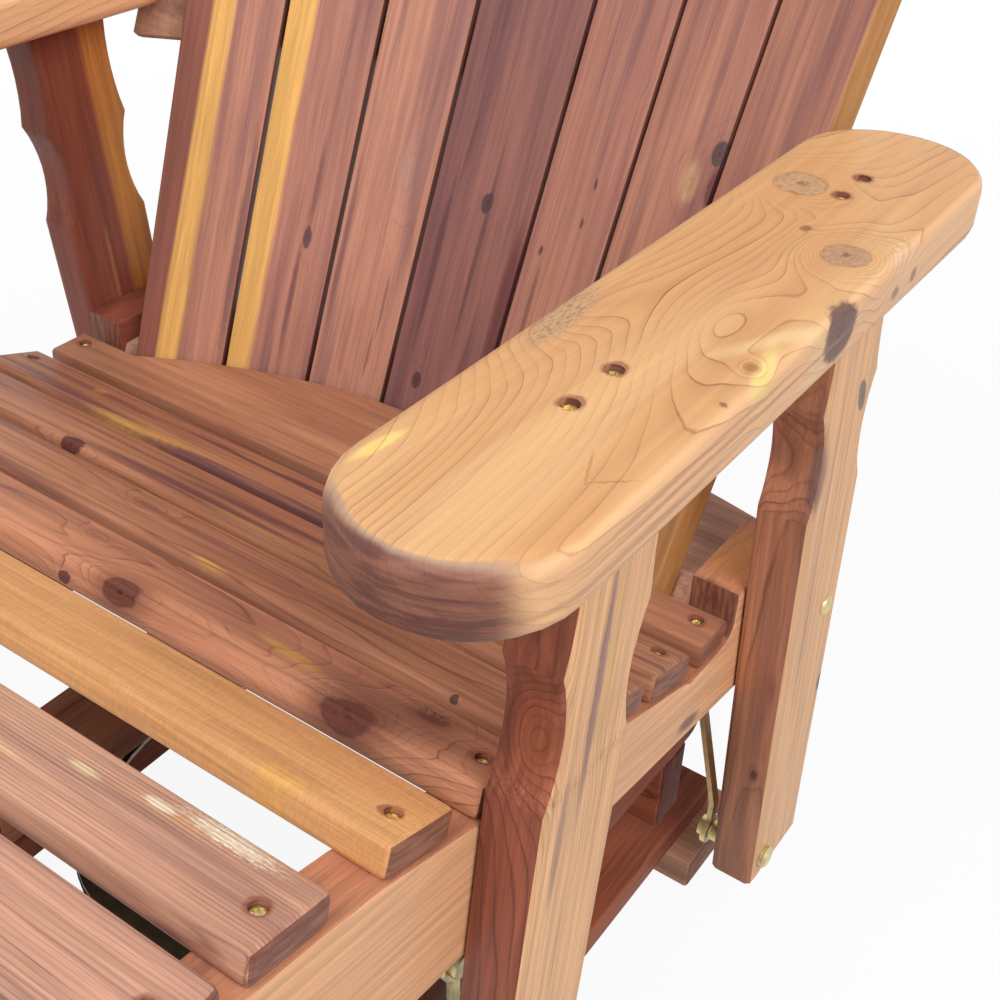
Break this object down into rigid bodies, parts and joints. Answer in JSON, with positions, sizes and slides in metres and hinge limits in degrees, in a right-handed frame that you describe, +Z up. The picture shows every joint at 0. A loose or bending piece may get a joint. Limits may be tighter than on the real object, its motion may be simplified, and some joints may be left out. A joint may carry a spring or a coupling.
{
  "type": "adirondack swivel glider",
  "caption": "Cedar adirondack chair on a swivel glider base: flat arms on raked scalloped posts, contoured slatted seat, fanned back, steel hangers and a turning ring.",
  "frame": {"origin": "on the floor, under the middle of the glider's width and length", "axes": "+Z up, the chair faces -Y, +X to the right of somebody looking at its front"},
  "size_m": [0.7342, 0.8848, 1.0288],
  "materials": {
    "red_cedar": "clear satin finish on planed red cedar",
    "zinc_plated_steel": "yellow zinc plating",
    "black_rubber": "matt"
  },
  "bodies": {
    "base": {"base_foot_board_front": "red_cedar", "base_foot_board_rear": "red_cedar", "base_runner_left": "red_cedar", "base_runner_right": "red_cedar", "floor_pad_front_left": "black_rubber", "floor_pad_front_right": "black_rubber", "floor_pad_rear_left": "black_rubber", "floor_pad_rear_right": "black_rubber", "swivel_bearing_ring": "zinc_plated_steel", "swivel_lower_plate": "zinc_plated_steel"},
    "glide_frame": {"glide_cross_board_front": "red_cedar", "glide_cross_board_rear": "red_cedar", "glide_side_board_left": "red_cedar", "glide_side_board_right": "red_cedar", "glide_sleeper_left": "red_cedar", "glide_sleeper_right": "red_cedar", "swivel_upper_plate": "zinc_plated_steel", "upper_pivot_bolt_front_left": "zinc_plated_steel", "upper_pivot_bolt_front_right": "zinc_plated_steel", "upper_pivot_bolt_rear_left": "zinc_plated_steel", "upper_pivot_bolt_rear_right": "zinc_plated_steel"},
    "link_front_left": {"glide_link_front_left": "zinc_plated_steel"},
    "link_front_right": {"glide_link_front_right": "zinc_plated_steel"},
    "link_rear_left": {"glide_link_rear_left": "zinc_plated_steel"},
    "link_rear_right": {"glide_link_rear_right": "zinc_plated_steel"},
    "chair": {"arm_post_front_left": "red_cedar", "arm_post_front_right": "red_cedar", "arm_post_rear_left": "red_cedar", "arm_post_rear_right": "red_cedar", "armrest_left": "red_cedar", "armrest_right": "red_cedar", "back_rail_arm_level": "red_cedar", "back_rail_lower": "red_cedar", "back_rail_upper": "red_cedar", "back_slat_1": "red_cedar", "back_slat_2": "red_cedar", "back_slat_3": "red_cedar", "back_slat_4": "red_cedar", "back_slat_5": "red_cedar", "back_slat_6": "red_cedar", "back_slat_7": "red_cedar", "lower_pivot_bolt_front_left": "zinc_plated_steel", "lower_pivot_bolt_front_right": "zinc_plated_steel", "lower_pivot_bolt_rear_left": "zinc_plated_steel", "lower_pivot_bolt_rear_right": "zinc_plated_steel", "seat_front_apron": "red_cedar", "seat_rail_left": "red_cedar", "seat_rail_right": "red_cedar", "seat_slat_1": "red_cedar", "seat_slat_2": "red_cedar", "seat_slat_3": "red_cedar", "seat_slat_4": "red_cedar", "seat_slat_5": "red_cedar", "seat_slat_6": "red_cedar", "seat_slat_7": "red_cedar", "seat_slat_rear": "red_cedar"}
  },
  "joints": [
    {"name": "swivel", "type": "hinge", "parent": "base", "child": "glide_frame", "pos_m": [0, -0.03818, 0.0735], "axis": [0, 0, 1], "continuous": true},
    {"name": "glide", "type": "hinge", "parent": "glide_frame", "child": "link_rear_right", "pos_m": [0.268, 0.11382, 0.25], "axis": [1, 0, 0], "range_deg": [-15, 15]},
    {"name": "glide_front_left", "type": "hinge", "parent": "glide_frame", "child": "link_front_left", "pos_m": [-0.268, -0.19018, 0.25], "axis": [1, 0, 0], "range_deg": [-15.5, 15.5]},
    {"name": "glide_front_right", "type": "hinge", "parent": "glide_frame", "child": "link_front_right", "pos_m": [0.268, -0.19018, 0.25], "axis": [1, 0, 0], "range_deg": [-15.5, 15.5]},
    {"name": "glide_rear_left", "type": "hinge", "parent": "glide_frame", "child": "link_rear_left", "pos_m": [-0.268, 0.11382, 0.25], "axis": [1, 0, 0], "range_deg": [-15.5, 15.5]},
    {"name": "chair_level", "type": "hinge", "parent": "link_rear_right", "child": "chair", "pos_m": [0.29, 0.11382, 0.1], "axis": [1, 0, 0], "range_deg": [-15.5, 15.5]}
  ],
  "couplings": [
    {"joint": "glide_front_left", "follows": "glide", "ratio": 1},
    {"joint": "glide_front_right", "follows": "glide", "ratio": 1},
    {"joint": "glide_rear_left", "follows": "glide", "ratio": 1},
    {"joint": "chair_level", "follows": "glide", "ratio": -1}
  ]
}
